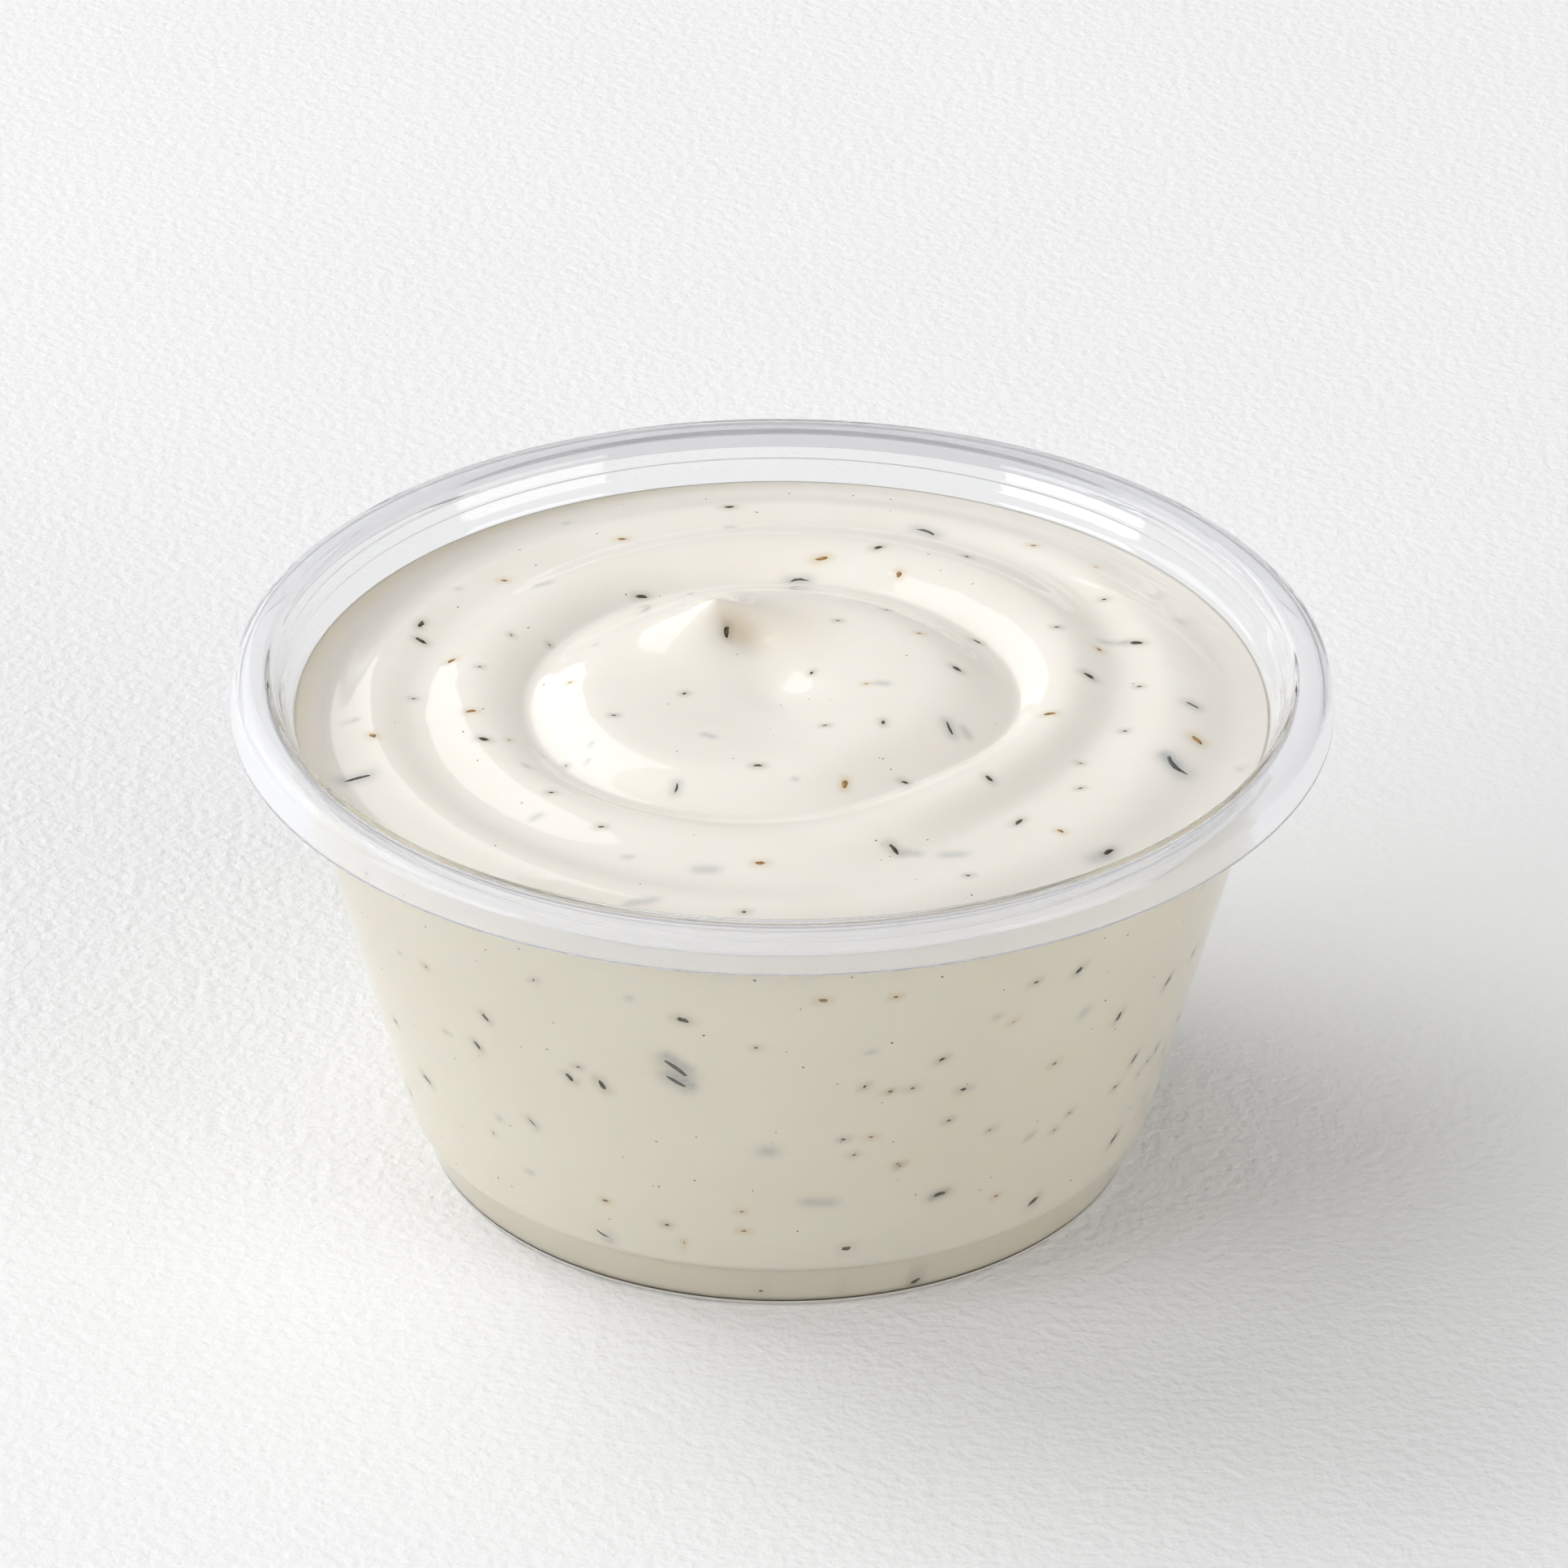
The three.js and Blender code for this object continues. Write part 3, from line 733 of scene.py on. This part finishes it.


# Painted shade: a tan band along the wall, where the wall and rim shade the dressing, and tan patches
# in the hollow beside the peak, whose steep face is in shade. Radius and width are in mm, the
# stretch's middle and half-length in degrees.
paintedWallShade = {"radius": 32.6, "width": 0.7, "middle": 142, "spread": 50, "colour": (0.96, 0.92, 0.84)}
paintedPeakShade = [    # x, y, reach and colour
    (-3.2, 7.5, 1.3, (0.87, 0.80, 0.69)),
    (-1.0, 8.0, 3.4, (0.94, 0.915, 0.87)),
]


# Painted shade: the foot is darkened as if in shade, and the step above it gets a painted dark line
# for the plastic's refraction there. Heights are in mm.
paintedFootShade = [
    {"low": -1.0, "high": 3.45, "soft": 0.12, "colour": (0.92, 0.905, 0.88)},
    {"low": 3.5, "high": 3.72, "soft": 0.08, "colour": (0.78, 0.75, 0.71)},
]


def tinted(old, share, colour):
    return [value * (1 - share * (1 - c)) for value, c in zip(old, (*colour, 1))]


# Paints shade on the skin by the wall, beside the peak and at the foot, and stains it softly round
# every fleck, as an attribute that the material reads.
def paintStainsAndShade(bm):
    layer = bm.verts.layers.float_color.new("stainAndShade")
    tree = KDTree(len(bm.verts))
    bm.verts.ensure_lookup_table()
    for v in bm.verts:
        x, y, z = v.co / mm
        turn = (math.degrees(math.atan2(y, x)) - paintedWallShade["middle"] + 180) % 360 - 180
        edge = math.exp(-((math.hypot(x, y) - paintedWallShade["radius"]) / paintedWallShade["width"]) ** 2
                        - (turn / paintedWallShade["spread"]) ** 4)
        v[layer] = (1, 1, 1, 1)
        # Painted shade by the wall and in the hollow beside the peak.
        if z > swirlSizes["wallLevel"] - 1:
            v[layer] = tinted(v[layer], edge, paintedWallShade["colour"])
            for hx, hy, reach, colour in paintedPeakShade:
                away = math.hypot(x - hx, y - hy) / reach
                v[layer] = tinted(v[layer], math.exp(-away ** 2), colour)
        # Painted shade over the foot, and a painted dark line at the step.
        for band in paintedFootShade:
            inBand = smoothStep((z - band["low"]) / band["soft"] + 0.5) \
                * smoothStep((band["high"] - z) / band["soft"] + 0.5)
            v[layer] = tinted(v[layer], inBand, band["colour"])
        tree.insert(v.co, v.index)
    tree.balance()
    for start, end, reach, colour in stains:
        along = end - start
        search = along.length / 2 + reach * 2.4
        for co, index, _ in tree.find_range((start + end) / 2 * mm, search * mm):
            step = min(max((co / mm - start).dot(along) / max(along.length_squared, 1e-6), 0), 1)
            distance = (co / mm - start - along * step).length
            share = math.exp(-(distance / reach) ** 2)
            v = bm.verts[index]
            v[layer] = tinted(v[layer], share, colour)


def markSide(bm):
    layer = bm.verts.layers.float.new("behindPlastic")
    edge = innerWallRadius(swirlSizes["wallLevel"]) + swirlSizes["intoWall"]
    for v in bm.verts:
        x, y, z = v.co / mm
        onTop = z > swirlSizes["wallLevel"] - 0.01 and math.hypot(x, y) < edge - 0.01
        v[layer] = 0.0 if onTop else 1.0
        if onTop:
            v.co.z = surfaceHeight(x, y) * mm


creamLooks = {    # sizes and depths in mm
    "blotchSize": 9, "wetSize": 5, "rippleSize": 3.2, "rippleDepth": 0.08, "rippleStrength": 0.6,
    "bare": [(0.3, srgb(244, 238, 228)), (0.7, srgb(247, 242, 233))],
    # Painted light: behind the plastic the cream is a separate, yellower copy, standing in for the light
    # that the plastic holds back and the warm shade on the side.
    "behind": [(0.3, srgb(247, 239, 219)), (0.7, srgb(249, 242, 223))],    # behind the plastic
    "scatter": 0.25, "scatterRadius": (1.0, 0.75, 0.5), "scatterScale": 1.2,
    "ior": 1.5, "specular": 0.65, "smoothest": 0.01, "roughest": 0.05,
}


def creamDressing():
    looks = creamLooks
    material, nodes, links, shader = newMaterial("creamDressing")
    point = objectPoint(nodes)
    blotch = noiseNode(nodes, links, point, looks["blotchSize"], 2)
    bare = rampNode(nodes, links, blotch, looks["bare"])
    # The part behind the plastic takes the yellower copy of the cream: painted light.
    behind = rampNode(nodes, links, blotch, looks["behind"])
    side = attributeNode(nodes, "behindPlastic").outputs["Fac"]
    cream = mixNode(nodes, links, side, bare, behind)
    # Multiplies in the fleck stains and the painted shade by the wall, beside the peak and at the foot.
    stainAndShade = attributeNode(nodes, "stainAndShade").outputs["Color"]
    links.new(mixNode(nodes, links, 1.0, cream, stainAndShade, "MULTIPLY"), shader.inputs["Base Color"])
    shader.inputs["Subsurface Weight"].default_value = looks["scatter"]
    shader.inputs["Subsurface Radius"].default_value = looks["scatterRadius"]
    shader.inputs["Subsurface Scale"].default_value = looks["scatterScale"] * mm
    shader.inputs["IOR"].default_value = looks["ior"]
    shader.inputs["Specular IOR Level"].default_value = looks["specular"]
    wet = noiseNode(nodes, links, point, looks["wetSize"], 0)
    roughness = spreadNode(nodes, links, wet, looks["smoothest"], looks["roughest"])
    links.new(roughness, shader.inputs["Roughness"])
    ripple = noiseNode(nodes, links, point, looks["rippleSize"], 1)
    normal = bumpNode(nodes, links, ripple, looks["rippleDepth"], looks["rippleStrength"])
    links.new(normal, shader.inputs["Normal"])
    return material


def makeDressing():
    bm = spinSection(dressingSection(), swirlSizes["turns"])
    markSide(bm)
    paintStainsAndShade(bm)
    piece = finishPiece(bm, "ranch_dressing", creamDressing())
    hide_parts("dressing")


makeDressing()
print("dressing made")


studio = {
    "worldColour": (1.0, 1.0, 1.0), "worldStrength": 0.33,
    "tableSize": 8.0,    # metres
    "grainSize": 0.9, "grainDepth": 0.2, "toneSize": 60,    # mm
    "grainStrength": 0.8,
    "tones": [(0.3, (0.86, 0.86, 0.86)), (0.7, (0.88, 0.88, 0.88))],
    "bounces": 10, "diffuseBounces": 3,
}
# Softboxes: azimuth from +X and elevation in degrees, distance, width and height in metres,
# power in watts and tint. The first two leave the wet highlights; the others only lift the shade.
softboxes = {
    "backSoftbox": (122, 34, 1.8, 1.0, 1.35, 4.4, (1, 1, 1)),
    "leftSoftbox": (163, 43, 1.8, 1.06, 1.06, 3.4, (1, 1, 1)),
    "windowLight": (150, 35, 2.4, 1.5, 1.5, 20.0, (1, 1, 1)),
    "highLight": (140, 62, 2.4, 1.5, 1.5, 7.2, (1, 1, 1)),
    "leftFill": (200, 12, 2.4, 1.5, 1.5, 49.0, (0.945, 0.97, 1.0)),
    "rightFill": (330, 12, 2.4, 1.5, 1.5, 36.0, (1.0, 0.99, 0.97)),
    "frontFill": (290, 14, 2.4, 1.5, 1.5, 3.0, (1, 1, 1)),
}
shiningSoftboxes = ("backSoftbox", "leftSoftbox")


def makeTable():
    bm = bmesh.new()
    bmesh.ops.create_grid(bm, x_segments=2, y_segments=2, size=studio["tableSize"] / 2)
    mesh = bpy.data.meshes.new("table")
    bm.to_mesh(mesh)
    bm.free()
    material, nodes, links, shader = newMaterial("paleTable")
    point = objectPoint(nodes)
    grain = noiseNode(nodes, links, point, studio["grainSize"], 2)
    tone = noiseNode(nodes, links, point, studio["toneSize"], 2)
    links.new(rampNode(nodes, links, tone, studio["tones"]), shader.inputs["Base Color"])
    shader.inputs["Roughness"].default_value = 0.75
    shader.inputs["Specular IOR Level"].default_value = 0.25
    normal = bumpNode(nodes, links, grain, studio["grainDepth"], studio["grainStrength"])
    links.new(normal, shader.inputs["Normal"])
    mesh.materials.append(material)
    table = bpy.data.objects.new("table", mesh)
    scene.collection.objects.link(table)


def makeWorld():
    world = bpy.data.worlds.new("studio")
    scene.world = world
    world.use_nodes = True
    background = world.node_tree.nodes["Background"]
    background.inputs["Color"].default_value = (*studio["worldColour"], 1)
    background.inputs["Strength"].default_value = studio["worldStrength"]
    scene.cycles.max_bounces = studio["bounces"]
    scene.cycles.transmission_bounces = studio["bounces"]
    scene.cycles.glossy_bounces = studio["bounces"]
    scene.cycles.diffuse_bounces = studio["diffuseBounces"]


def makeSoftbox(name, azimuth, elevation, distance, width, height, power, tint):
    data = bpy.data.lights.new(name, "AREA")
    data.shape = "RECTANGLE"
    data.size, data.size_y = width, height
    data.energy = power
    data.color = tint
    turn, lift = math.radians(azimuth), math.radians(elevation)
    towards = Vector((math.cos(turn) * math.cos(lift), math.sin(turn) * math.cos(lift),
                      math.sin(lift)))
    softbox = bpy.data.objects.new(name, data)
    softbox.location = towards * distance
    softbox.rotation_mode = "QUATERNION"
    softbox.rotation_quaternion = towards.to_track_quat("Z", "Y")
    softbox.visible_glossy = name in shiningSoftboxes
    scene.collection.objects.link(softbox)


makeTable()
makeWorld()
for softboxName, softboxValues in softboxes.items():
    makeSoftbox(softboxName, *softboxValues)
scene.view_settings.view_transform = "Standard"
print("table and light made")
